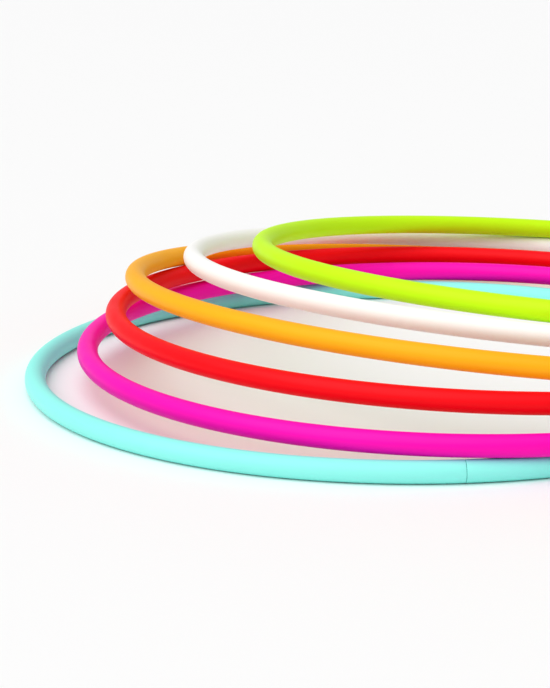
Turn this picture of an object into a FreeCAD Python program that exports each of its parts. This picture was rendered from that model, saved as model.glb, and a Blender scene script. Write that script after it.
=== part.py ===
import FreeCAD, Part
import math
import os

# Six loose gymnastics hoops, fanned out in a leaning pile. Millimetres and degrees.
# +Z is up, +X is the way the pile fans out, +Y runs from the near side to the far side.
# The bottom hoop lies flat on the floor, and every other hoop rests on those beneath it.

# ---- one hoop ----
HOOP_DIAMETER = 700.0     # outside, across the ring
SIZE_STEP = 50.0          # from one size of hoop to the next
TUBE_DIAMETER = 19.0      # outside of the extruded plastic tube
TUBE_WALL = 2.0
SEAM_GAP = 0.3            # between the two square-cut ends of the tube
END_ROUNDING = 0.5        # small radius on the outer lip of each cut end

# ---- the plug that closes each ring from the inside ----
PLUG_LENGTH = 90.0        # along the ring, half in each end of the tube
PLUG_WALL = 2.5
PLUG_CLEARANCE = 0.25     # between the plug's body and the tube's bore, each side
RIB_BITE = 0.1            # how far each gripping rib presses into the bore
RIB_WIDTH = 3.0
RIB_PITCH = 8.0
RIBS_PER_END = 4
RIB_END_MARGIN = 5.0      # from the plug's end to the middle of its last rib

# ---- the pile ----
SEAT_GAP = 0.3            # between two hoops where one rests on the other
# name, sizes up, step to this hoop's centre from the one beneath (x, y), lean, place of
# its seam. A hoop leans down towards the side it has stepped to. The seam's place is an
# angle round the hoop's own ring, from +X.
PILE = [
    ("turquoise", 0, (0.0, 0.0), 0.0, -84.9),
    ("magenta", 0, (48.1, 5.1), 0.65, -35.0),
    ("red", 0, (24.8, 27.6), 2.35, 20.0),
    ("orange", 1, (40.3, 36.7), 6.75, -15.0),
    ("white", 0, (29.6, 19.0), 6.75, 35.0),
    ("lime", 0, (66.1, -2.4), 4.25, -5.0),
]

# ---- worked out ----
tube_radius = TUBE_DIAMETER / 2
bore_radius = tube_radius - TUBE_WALL
plug_radius = bore_radius - PLUG_CLEARANCE
plug_bore_radius = plug_radius - PLUG_WALL
rib_radius = bore_radius + RIB_BITE
seat_distance = TUBE_DIAMETER + SEAT_GAP             # between two tubes' middles

# ---- how closely a hoop is brought to rest ----
SEAT_TOLERANCE = 1e-5     # millimetres
NUDGE = 1e-3              # millimetres, at the middle of the ring and at its side
MOST_STEPS = 40
SEARCH_REACH = math.radians(30)     # each side of where two rings cross in plan
ANGLE_TOLERANCE = 1e-7
GOLDEN_SHARE = (math.sqrt(5) - 1) / 2

up = FreeCAD.Vector(0, 0, 1)
origin = FreeCAD.Vector(0, 0, 0)


def middle_line(sizes_up):
    """The radius of a hoop of this size, to the middle of its tube."""
    return (HOOP_DIAMETER + SIZE_STEP * sizes_up - TUBE_DIAMETER) / 2


def arc_angle(length, radius):
    """The angle round a ring, in degrees, that a length along its tube covers."""
    return math.degrees(length / radius)


def place(centre, normal, turn=0.0):
    """A placement that lays a flat ring at the origin down on its leaning place."""
    lean = FreeCAD.Rotation(up, normal)
    return FreeCAD.Placement(centre, lean.multiply(FreeCAD.Rotation(up, turn)))


# A ring on the pile is a pair: its placement, and the radius of its middle line.
def ring_point(ring, angle):
    """The point on the middle line of a placed ring at an angle in radians."""
    placed, radius = ring
    return placed.multVec(FreeCAD.Vector(radius * math.cos(angle), radius * math.sin(angle), 0))


def distance_to_ring(point, ring):
    """How far a point is from the middle line of a placed ring."""
    placed, radius = ring
    local = placed.inverse().multVec(point)
    across = math.hypot(local.x, local.y) - radius
    return math.hypot(across, local.z)


def crossing_distance(upper, lower, side):
    """The least distance between two rings where they cross: side 1 is far, -1 is near."""
    step = upper[0].Base - lower[0].Base
    apart = math.hypot(step.x, step.y)
    heading = math.atan2(step.y, step.x)
    across = (lower[1] ** 2 - upper[1] ** 2 - apart ** 2) / 2 / apart / upper[1]
    if abs(across) >= 1:
        return math.inf    # one of them lies wholly inside the other
    middle = heading + side * math.acos(across)

    def distance(angle):
        return distance_to_ring(ring_point(upper, angle), lower)

    low, high = middle - SEARCH_REACH, middle + SEARCH_REACH
    while high - low > ANGLE_TOLERANCE:
        left = high - GOLDEN_SHARE * (high - low)
        right = low + GOLDEN_SHARE * (high - low)
        if distance(left) < distance(right):
            high = right
        else:
            low = left
    return distance((low + high) / 2)


def rest_on(below, radius, step, lean):
    """Lay a hoop on the pile: its height and its side tilt follow from the two places,
    near and far, where it first meets a hoop beneath it."""
    under = below[-1][0].Base
    along = FreeCAD.Vector(step[0], step[1], 0).normalize()
    side = up.cross(along)
    fall = math.tan(math.radians(lean))

    def at(height, side_fall):
        centre = FreeCAD.Vector(under.x + step[0], under.y + step[1], height)
        return place(centre, (along * fall + side * side_fall + up).normalize()), radius

    def misfit(height, side_fall):
        ring = at(height, side_fall)
        return [min(crossing_distance(ring, other, way) for other in below) - seat_distance
                for way in (-1, 1)]

    height, side_fall = under.z + 2 * TUBE_DIAMETER, 0.0
    for _ in range(MOST_STEPS):
        near, far = misfit(height, side_fall)
        if max(abs(near), abs(far)) < SEAT_TOLERANCE:
            return at(height, side_fall)
        higher = misfit(height + NUDGE, side_fall)
        tipped = misfit(height, side_fall + NUDGE / radius)
        near_up, far_up = (higher[0] - near) / NUDGE, (higher[1] - far) / NUDGE
        near_tip, far_tip = (tipped[0] - near) / NUDGE, (tipped[1] - far) / NUDGE
        scale = near_up * far_tip - far_up * near_tip
        height -= (near * far_tip - far * near_tip) / scale
        side_fall -= (near_up * far - far_up * near) / scale / radius
    raise RuntimeError("a hoop found no place to rest")


def ring_sector(radius, outer, inner, start, length):
    """A stretch of a hollow ring lying flat: its middle line's radius, the outer and inner
    radii of its section, where its middle is, as an angle, and its length along the ring."""
    across = FreeCAD.Vector(0, 1, 0)
    middle = FreeCAD.Vector(radius, 0, 0)
    discs = [Part.Face(Part.Wire(Part.makeCircle(size, middle, across))) for size in (outer, inner)]
    section = discs[0].cut(discs[1]).Faces[0]
    angle = arc_angle(length, radius)
    sector = section.revolve(origin, up, angle)
    sector.rotate(origin, up, start - angle / 2)
    return sector


def hoop_tube(radius):
    """The tube bent into a ring, its two cut ends meeting at the seam, at angle 0."""
    length = 2 * math.pi * radius - SEAM_GAP
    tube = ring_sector(radius, tube_radius, bore_radius, 180.0, length)
    lips = [edge for edge in tube.Edges
            if isinstance(edge.Curve, Part.Circle) and abs(edge.Curve.Radius - tube_radius) < 1e-6]
    return tube.makeFillet(END_ROUNDING, lips)


def joining_plug(radius):
    """The curved hollow plug inside the seam, with ribs that grip both ends of the tube."""
    plug = ring_sector(radius, plug_radius, plug_bore_radius, 0.0, PLUG_LENGTH)
    outermost = PLUG_LENGTH / 2 - RIB_END_MARGIN
    places = [outermost - RIB_PITCH * count for count in range(RIBS_PER_END)]
    ribs = [ring_sector(radius, rib_radius, plug_bore_radius, arc_angle(side * spot, radius), RIB_WIDTH)
            for side in (-1, 1) for spot in places]
    return plug.multiFuse(ribs)


def pile_middle(axis):
    """The middle of the whole pile along a row axis, from how far each hoop reaches."""
    lows, highs = [], []
    for placed, radius in rings:
        centre = getattr(placed.Base, axis)
        tilt = getattr(placed.Rotation.multVec(up), axis)
        reach = radius * math.sqrt(1 - tilt ** 2) + tube_radius
        lows.append(centre - reach)
        highs.append(centre + reach)
    return (min(lows) + max(highs)) / 2


def save(shape, name):
    if not shape.isValid() or len(shape.Solids) != 1:
        raise RuntimeError(name + " is not one sound solid")
    shape.Solids[0].exportStep("parts/" + name + ".step")


os.makedirs("parts", exist_ok=True)

rings = [(place(FreeCAD.Vector(0, 0, tube_radius), up), middle_line(PILE[0][1]))]
for name, sizes_up, step, lean, seam in PILE[1:]:
    rings.append(rest_on(rings, middle_line(sizes_up), step, lean))

shapes = {radius: (hoop_tube(radius), joining_plug(radius)) for placed, radius in rings}
pieces = {}
for (name, sizes_up, step, lean, seam), (placed, radius) in zip(PILE, rings):
    turned = placed.multiply(FreeCAD.Placement(origin, FreeCAD.Rotation(up, seam)))
    for kind, shape in zip(("tube", "plug"), shapes[radius]):
        piece = shape.copy()
        piece.Placement = turned
        pieces[name + "_" + kind] = piece

# The origin is on the floor, under the middle of the whole pile.
shift = FreeCAD.Vector(-pile_middle("x"), -pile_middle("y"), 0)
for name, piece in pieces.items():
    piece.translate(shift)
    save(piece, name)
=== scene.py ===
import math

import bpy
import numpy as np
from mathutils import Matrix, Vector


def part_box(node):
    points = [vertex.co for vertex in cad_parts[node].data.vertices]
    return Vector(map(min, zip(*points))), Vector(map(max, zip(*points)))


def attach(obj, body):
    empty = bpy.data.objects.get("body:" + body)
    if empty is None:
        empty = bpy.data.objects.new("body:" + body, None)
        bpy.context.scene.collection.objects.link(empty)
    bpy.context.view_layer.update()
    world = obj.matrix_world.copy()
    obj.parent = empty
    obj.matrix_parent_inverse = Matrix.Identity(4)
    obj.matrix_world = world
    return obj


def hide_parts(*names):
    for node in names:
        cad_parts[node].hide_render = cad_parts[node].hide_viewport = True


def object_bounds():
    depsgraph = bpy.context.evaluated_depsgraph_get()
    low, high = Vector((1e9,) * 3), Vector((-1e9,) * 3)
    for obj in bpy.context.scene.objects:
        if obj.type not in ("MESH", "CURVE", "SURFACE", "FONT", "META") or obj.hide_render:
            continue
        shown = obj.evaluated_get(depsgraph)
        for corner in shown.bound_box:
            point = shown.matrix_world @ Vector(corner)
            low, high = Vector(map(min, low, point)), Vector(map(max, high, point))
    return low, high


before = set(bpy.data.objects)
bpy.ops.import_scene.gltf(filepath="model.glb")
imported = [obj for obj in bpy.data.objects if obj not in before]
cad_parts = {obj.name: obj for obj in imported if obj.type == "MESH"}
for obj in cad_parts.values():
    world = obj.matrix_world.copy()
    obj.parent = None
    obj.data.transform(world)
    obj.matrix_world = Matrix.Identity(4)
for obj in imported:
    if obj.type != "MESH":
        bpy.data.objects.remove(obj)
frame_box = [list(corner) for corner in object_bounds()]

bl_info = {
    "name": "Fanned Gymnastics Hoops",
    "version": (1, 0, 0),
    "blender": (4, 5, 0),
    "location": "View3D > Sidebar > Hoops",
    "description": "Six satin plastic gymnastics hoops in a fanned pile, with floor, light and camera",
    "category": "Object",
}

HOOPS = ("turquoise", "magenta", "red", "orange", "white", "lime")
MM = 0.001
RUN = "run"     # each tube point's place on the tube before it was bent: along it, across, up

LIP_SEGMENTS = 4
LIP_ANGLE = math.radians(60)        # only the cut ends' edges are sharper than this
SMOOTH_ANGLE = math.radians(40)

POLYETHYLENE_IOR = 1.51
PICTURE_SIDE = 36.0                 # of the camera's film, in millimetres
CLIP_END = 200.0                    # past the floor's far edge
KEY_DISTANCE = 3.0                  # only where the key light's mark stands: a sun has no place


def linear(hex_colour):
    """A linear colour from an sRGB hex value."""
    channels = [int(hex_colour[i:i + 2], 16) / 255 for i in (0, 2, 4)]
    return tuple(c / 12.92 if c <= 0.04045 else ((c + 0.055) / 1.055) ** 2.4 for c in channels)


# ---------------------------------------------------------------- settings

def colour(name, hex_colour, words):
    """A colour setting that starts from an sRGB hex value."""
    return bpy.props.FloatVectorProperty(
        name=name, description=words, subtype="COLOR", size=3, min=0.0, max=1.0,
        default=linear(hex_colour))


class HoopTubeSettings(bpy.types.PropertyGroup):
    """Sizes of the tube that a hoop is bent from. Its outside sizes come from the frame."""
    wall: bpy.props.FloatProperty(
        name="Wall", description="Thickness of the tube's wall", default=2.0 * MM, min=0.5 * MM,
        unit="LENGTH")
    seam_gap: bpy.props.FloatProperty(
        name="Seam gap", description="Between the two cut ends of the tube", default=0.3 * MM,
        unit="LENGTH")
    lip_rounding: bpy.props.FloatProperty(
        name="Lip rounding", description="Radius on the edges of each cut end", default=0.5 * MM,
        unit="LENGTH")
    sides: bpy.props.IntProperty(
        name="Sides", description="Faces round the tube", default=64, min=12)
    stretches: bpy.props.IntProperty(
        name="Stretches", description="Faces along the whole ring", default=360, min=48)


class HoopFinishSettings(bpy.types.PropertyGroup):
    """Colours and surface of the plastic."""
    turquoise: colour("Turquoise", "9AF6EC", "Colour of the bottom hoop")
    magenta: colour("Magenta", "FF00B8", "Colour of the second hoop")
    red: colour("Red", "F60018", "Colour of the third hoop")
    orange: colour("Orange", "FFB81C", "Colour of the fourth hoop")
    white: colour("White", "FFFDFA", "Colour of the fifth hoop")
    lime: colour("Lime", "CCFC14", "Colour of the top hoop")
    plug: colour("Plug", "26272A", "Colour of the joining plugs inside the tubes")
    roughness: bpy.props.FloatProperty(
        name="Roughness", description="Roughness of the satin tube", default=0.42, min=0.0, max=1.0)
    shine: bpy.props.FloatProperty(
        name="Shine", description="Strength of the tube's mirrored light, 0.5 for bare plastic",
        default=0.2, min=0.0, max=1.0)


class HoopStageSettings(bpy.types.PropertyGroup):
    """Floor, light and camera."""
    floor_size: bpy.props.FloatProperty(
        name="Floor size", description="Side of the square floor", default=60.0, unit="LENGTH")
    floor_colour: colour("Floor", "F8F8F8", "Colour of the pale floor")
    sky_strength: bpy.props.FloatProperty(
        name="Surround light", description="Strength of the even light from all round", default=0.47)
    key_strength: bpy.props.FloatProperty(
        name="Key light", description="Strength of the soft light from above, left and the near side",
        default=1.6)
    key_softness: bpy.props.FloatProperty(
        name="Key softness", description="How wide the key light looks from the pile",
        default=math.radians(75), subtype="ANGLE")
    key_towards: bpy.props.FloatVectorProperty(
        name="Key direction", description="The way the key light shines", size=3,
        default=(0.5, 0.45, -1.0), subtype="XYZ")
    camera_back: bpy.props.FloatProperty(
        name="Camera back", description="From the pile's middle back to the camera", default=2.1977,
        unit="LENGTH")
    camera_left: bpy.props.FloatProperty(
        name="Camera left", description="From the pile's middle left to the camera", default=0.223,
        unit="LENGTH")
    camera_height: bpy.props.FloatProperty(
        name="Camera height", description="Above the floor", default=0.5502, unit="LENGTH")
    camera_pitch: bpy.props.FloatProperty(
        name="Camera pitch", description="How far the camera looks down",
        default=math.radians(13.53), subtype="ANGLE")
    camera_roll: bpy.props.FloatProperty(
        name="Camera roll", description="Turn about the line of sight",
        default=math.radians(-0.45), subtype="ANGLE")
    focal_length: bpy.props.FloatProperty(
        name="Focal length", description="Lens, in millimetres, for a 36 mm picture side", default=124.9)


# ---------------------------------------------------------------- small helpers

def deselect():
    if bpy.context.mode != "OBJECT":
        bpy.ops.object.mode_set(mode="OBJECT")
    bpy.ops.object.select_all(action="DESELECT")


def make_active(obj):
    deselect()
    obj.select_set(True)
    bpy.context.view_layer.objects.active = obj


def modify(obj, kind, **values):
    """Add a modifier with its settings and apply it."""
    make_active(obj)
    modifier = obj.modifiers.new(kind.title(), kind)
    for key, value in values.items():
        setattr(modifier, key, value)
    bpy.ops.object.modifier_apply(modifier=modifier.name)


def mesh_points(obj):
    flat = np.empty(3 * len(obj.data.vertices))
    obj.data.vertices.foreach_get("co", flat)
    return flat.reshape(-1, 3)


def node_points(name):
    """The points of a CAD node, in the frame."""
    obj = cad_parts[name]
    turn = np.array(obj.matrix_world)
    return mesh_points(obj) @ turn[:3, :3].T + turn[:3, 3]


def measure_ring(hoop):
    """A CAD hoop's ring radius, to the tube's middle, its tube radius, and the matrix that
    lays a flat ring, with its seam on +X, where the hoop is."""
    low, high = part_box(hoop + "_tube")
    centre = (Vector(low) + Vector(high)) / 2
    points = node_points(hoop + "_tube") - np.array(centre)
    normal = Vector(np.linalg.svd(points.T @ points)[0][:, 2])
    if normal.z < 0:
        normal.negate()
    heights = points @ np.array(normal)
    tube_radius = float(np.abs(heights).max())
    reach = float(np.sqrt((points ** 2).sum(axis=1) - heights ** 2).max())

    plug = Vector(node_points(hoop + "_plug").mean(axis=0)) - centre
    seam = (plug - normal * plug.dot(normal)).normalized()
    turn = Matrix((seam, normal.cross(seam), normal)).transposed()
    return reach - tube_radius, tube_radius, Matrix.Translation(centre) @ turn.to_4x4()


# ---------------------------------------------------------------- materials

def add_node(material, kind, links=None, **values):
    """Add one node. A value is set on an input socket of that name, or else on the node;
    links joins outputs to its inputs by socket name or number."""
    tree = material.node_tree
    node = tree.nodes.new(kind)
    for key, value in values.items():
        socket = key.replace("_", " ").title()
        if hasattr(node, key):
            setattr(node, key, value)
        else:
            node.inputs[socket].default_value = value
    for key, output in (links or {}).items():
        tree.links.new(output, node.inputs[key])
    return node


def new_material(name):
    material = bpy.data.materials.new(name)
    material.use_nodes = True
    material.node_tree.nodes.clear()
    return material


def finish_material(material, shader):
    output = material.node_tree.nodes.new("ShaderNodeOutputMaterial")
    material.node_tree.links.new(shader.outputs[0], output.inputs["Surface"])
    return material


def extruded_polyethylene(name, tint, roughness, shine):
    """Polyethylene tube, extruded in its colour and bent warm: a satin skin with faint
    die lines along it, slightly uneven colour, and handling marks that dull it in patches."""
    material = new_material(name)
    run = add_node(material, "ShaderNodeAttribute", attribute_name=RUN)

    # Die lines: 0.7 mm apart round the tube, each some 400 mm long.
    stretch = add_node(material, "ShaderNodeMapping", {"Vector": run.outputs["Vector"]},
                       scale=(1 / (400 * MM), 1 / (0.7 * MM), 1 / (0.7 * MM)))
    lines = add_node(material, "ShaderNodeTexNoise", {"Vector": stretch.outputs[0]},
                     scale=1.0, detail=2.0)

    # Colour that runs a little richer and paler along the tube, over some 90 mm.
    drift_map = add_node(material, "ShaderNodeMapping", {"Vector": run.outputs["Vector"]},
                         scale=(1 / (90 * MM), 1 / (12 * MM), 1 / (12 * MM)))
    drift = add_node(material, "ShaderNodeTexNoise", {"Vector": drift_map.outputs[0]},
                     scale=1.0, detail=3.0)
    richer = tuple(channel ** 1.06 * 0.97 for channel in tint) + (1.0,)
    paler = tuple(min(channel * 1.02 + 0.004, 1.0) for channel in tint) + (1.0,)
    base = add_node(material, "ShaderNodeMix", {"Factor": drift.outputs["Fac"]}, data_type="RGBA")
    base.inputs["A"].default_value = richer
    base.inputs["B"].default_value = paler

    # Handling marks: duller patches some 40 mm long and 15 mm round the tube, with finer ones
    # inside them.
    patch_map = add_node(material, "ShaderNodeMapping", {"Vector": run.outputs["Vector"]},
                         scale=(1 / (40 * MM), 1 / (15 * MM), 1 / (15 * MM)))
    patches = add_node(material, "ShaderNodeTexNoise", {"Vector": patch_map.outputs[0]},
                       scale=1.0, detail=6.0, roughness=0.65)
    dull = add_node(material, "ShaderNodeMapRange", {"Value": patches.outputs["Fac"]})
    for socket, value in (("From Min", 0.35), ("From Max", 0.7), ("To Min", roughness - 0.03),
                          ("To Max", roughness + 0.06)):
        dull.inputs[socket].default_value = value

    bump = add_node(material, "ShaderNodeBump", {"Height": lines.outputs["Fac"]},
                    strength=0.25, distance=0.02 * MM)
    shader = add_node(material, "ShaderNodeBsdfPrincipled",
                      {"Base Color": base.outputs["Result"], "Roughness": dull.outputs["Result"],
                       "Normal": bump.outputs["Normal"]})
    shader.inputs["IOR"].default_value = POLYETHYLENE_IOR
    shader.inputs["Specular IOR Level"].default_value = shine
    return finish_material(material, shader)


def moulded_polyamide(name, tint):
    """Black moulded plug: even and fairly dull, with a fine 0.4 mm mould texture."""
    material = new_material(name)
    place = add_node(material, "ShaderNodeTexCoord")
    grain = add_node(material, "ShaderNodeTexNoise", {"Vector": place.outputs["Object"]},
                     scale=1 / (0.4 * MM), detail=2.0)
    tone = add_node(material, "ShaderNodeMix", {"Factor": grain.outputs["Fac"]}, data_type="RGBA")
    tone.inputs["A"].default_value = tuple(channel * 0.85 for channel in tint) + (1.0,)
    tone.inputs["B"].default_value = tuple(channel * 1.15 for channel in tint) + (1.0,)
    bump = add_node(material, "ShaderNodeBump", {"Height": grain.outputs["Fac"]},
                    strength=0.3, distance=0.02 * MM)
    shader = add_node(material, "ShaderNodeBsdfPrincipled",
                      {"Base Color": tone.outputs["Result"], "Normal": bump.outputs["Normal"]},
                      roughness=0.55)
    return finish_material(material, shader)


def matt_floor(name, tint):
    """Matt white studio floor: even, with a faint tone drift over a metre."""
    material = new_material(name)
    place = add_node(material, "ShaderNodeTexCoord")
    drift = add_node(material, "ShaderNodeTexNoise", {"Vector": place.outputs["Object"]},
                     scale=1.0, detail=1.0)
    tone = add_node(material, "ShaderNodeMix", {"Factor": drift.outputs["Fac"]}, data_type="RGBA")
    tone.inputs["A"].default_value = tuple(channel * 0.995 for channel in tint) + (1.0,)
    tone.inputs["B"].default_value = tuple(tint) + (1.0,)
    shader = add_node(material, "ShaderNodeBsdfPrincipled", {"Base Color": tone.outputs["Result"]},
                      roughness=0.7)
    return finish_material(material, shader)


# ---------------------------------------------------------------- pieces

def spin_tube(ring_radius, tube_radius, settings):
    """One open ring of tube lying flat at the origin, with its cut ends either side of +X."""
    deselect()
    half_gap = settings.seam_gap / 2 / ring_radius      # as an angle round the ring
    bpy.ops.mesh.primitive_circle_add(
        vertices=settings.sides, radius=tube_radius, location=(ring_radius, 0, 0),
        rotation=(math.pi / 2, 0, 0))
    tube = bpy.context.active_object
    bpy.ops.object.transform_apply(location=True, rotation=True, scale=True)
    bpy.ops.object.mode_set(mode="EDIT")
    bpy.ops.mesh.select_all(action="SELECT")
    bpy.ops.mesh.spin(steps=settings.stretches, angle=2 * math.pi - 2 * half_gap, use_auto_merge=False,
                      center=(0, 0, 0), axis=(0, 0, 1))
    bpy.ops.object.mode_set(mode="OBJECT")
    tube.data.transform(Matrix.Rotation(half_gap, 4, "Z"))
    bpy.ops.object.mode_set(mode="EDIT")
    bpy.ops.mesh.select_all(action="SELECT")
    bpy.ops.mesh.normals_make_consistent(inside=False)
    bpy.ops.object.mode_set(mode="OBJECT")
    return tube


def mark_run(tube, ring_radius):
    """Keep each point's place on the straight tube that the ring was bent from."""
    points = mesh_points(tube)
    angle = np.arctan2(points[:, 1], points[:, 0]) % (2 * math.pi)
    across = np.hypot(points[:, 0], points[:, 1]) - ring_radius
    run = np.stack([angle * ring_radius, across, points[:, 2]], axis=-1)
    attribute = tube.data.attributes.new(RUN, "FLOAT_VECTOR", "POINT")
    attribute.data.foreach_set("vector", run.ravel())


def finished_tube(ring_radius, tube_radius, settings):
    """A tube with its wall, rounded lips and smooth shading, flat at the origin."""
    tube = spin_tube(ring_radius, tube_radius, settings)
    modify(tube, "SOLIDIFY", thickness=settings.wall, offset=-1.0, use_even_offset=True)
    modify(tube, "BEVEL", width=settings.lip_rounding, segments=LIP_SEGMENTS, limit_method="ANGLE",
           angle_limit=LIP_ANGLE)
    make_active(tube)
    bpy.ops.object.shade_smooth_by_angle(angle=SMOOTH_ANGLE)
    mark_run(tube, ring_radius)
    return tube


class HOOPS_OT_tubes(bpy.types.Operator):
    """Model a tube for each size of hoop, and lay a copy on each CAD hoop"""
    bl_idname = "hoops.tubes"
    bl_label = "Hoop tubes"

    def execute(self, context):
        settings = context.scene.hoop_tube
        finish = context.scene.hoop_finish
        patterns = {}
        for hoop in HOOPS:
            ring_radius, tube_radius, place = measure_ring(hoop)
            size = round(ring_radius / MM)
            if size not in patterns:
                patterns[size] = finished_tube(ring_radius, tube_radius, settings)
            pattern = patterns[size]
            piece = pattern.copy()
            piece.data = pattern.data.copy()
            piece.name = piece.data.name = hoop + "_hoop_tube"
            context.collection.objects.link(piece)
            piece.data.transform(place)
            piece.data.materials.append(extruded_polyethylene(
                hoop + " extruded polyethylene", getattr(finish, hoop), finish.roughness, finish.shine))
            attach(piece, hoop + "_hoop")
            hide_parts(hoop + "_tube")
        for pattern in patterns.values():
            bpy.data.objects.remove(pattern)
        return {"FINISHED"}


class HOOPS_OT_plugs(bpy.types.Operator):
    """Give the joining plugs inside the tubes their moulded plastic"""
    bl_idname = "hoops.plugs"
    bl_label = "Joining plugs"

    def execute(self, context):
        material = moulded_polyamide("black moulded polyamide", context.scene.hoop_finish.plug)
        for hoop in HOOPS:
            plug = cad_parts[hoop + "_plug"]
            plug.data.materials.clear()
            plug.data.materials.append(material)
        return {"FINISHED"}


class HOOPS_OT_stage(bpy.types.Operator):
    """Lay the pale floor and set up the soft light and the camera"""
    bl_idname = "hoops.stage"
    bl_label = "Floor, light and camera"

    def execute(self, context):
        settings = context.scene.hoop_stage
        scene = context.scene
        low, high = (Vector(corner) for corner in frame_box)
        middle = (low + high) / 2

        deselect()
        bpy.ops.mesh.primitive_plane_add(size=settings.floor_size,
                                         location=(middle.x, middle.y, low.z))
        floor = context.active_object
        floor.name = "floor"
        bpy.ops.object.transform_apply(location=True, rotation=True, scale=True)
        floor.data.materials.append(matt_floor("matt studio floor", settings.floor_colour))

        world = bpy.data.worlds.new("even surround")
        world.use_nodes = True
        surround = world.node_tree.nodes["Background"]
        surround.inputs["Color"].default_value = (1.0, 1.0, 1.0, 1.0)
        surround.inputs["Strength"].default_value = settings.sky_strength
        scene.world = world

        deselect()
        towards = Vector(settings.key_towards)
        bpy.ops.object.light_add(type="SUN", location=middle - towards * KEY_DISTANCE)
        key = context.active_object
        key.name = "key light"
        key.data.energy = settings.key_strength
        key.data.angle = settings.key_softness
        key.rotation_euler = towards.to_track_quat("-Z", "Y").to_euler()

        deselect()
        bpy.ops.object.camera_add()
        camera = context.active_object
        camera.name = "camera"
        camera.data.lens = settings.focal_length
        camera.data.sensor_width = PICTURE_SIDE
        camera.data.clip_end = CLIP_END
        place = Matrix.Translation((middle.x - settings.camera_left, middle.y - settings.camera_back,
                                    low.z + settings.camera_height))
        pitch = Matrix.Rotation(math.pi / 2 - settings.camera_pitch, 4, "X")
        camera.matrix_world = place @ pitch @ Matrix.Rotation(settings.camera_roll, 4, "Z")
        scene.camera = camera

        scene.view_settings.view_transform = "Standard"
        scene.view_settings.look = "Medium High Contrast"
        return {"FINISHED"}


class HOOPS_PT_panel(bpy.types.Panel):
    """The hoops' panel in the sidebar"""
    bl_idname = "HOOPS_PT_panel"
    bl_label = "Fanned Hoops"
    bl_space_type = "VIEW_3D"
    bl_region_type = "UI"
    bl_category = "Hoops"

    def draw(self, context):
        for operator in OPERATORS:
            self.layout.operator(operator.bl_idname)
        for group in GROUPS:
            box = self.layout.box()
            for name in group.__annotations__:
                box.prop(getattr(context.scene, GROUPS[group]), name)


GROUPS = {HoopTubeSettings: "hoop_tube", HoopFinishSettings: "hoop_finish", HoopStageSettings: "hoop_stage"}
OPERATORS = (HOOPS_OT_tubes, HOOPS_OT_plugs, HOOPS_OT_stage)


def register():
    for part in (*GROUPS, *OPERATORS, HOOPS_PT_panel):
        bpy.utils.register_class(part)
    for group, name in GROUPS.items():
        setattr(bpy.types.Scene, name, bpy.props.PointerProperty(type=group))


def unregister():
    for name in GROUPS.values():
        delattr(bpy.types.Scene, name)
    for part in reversed((*GROUPS, *OPERATORS, HOOPS_PT_panel)):
        bpy.utils.unregister_class(part)


def main():
    register()
    bpy.ops.hoops.tubes()
    bpy.ops.hoops.plugs()
    bpy.ops.hoops.stage()


if __name__ == "__main__":
    main()
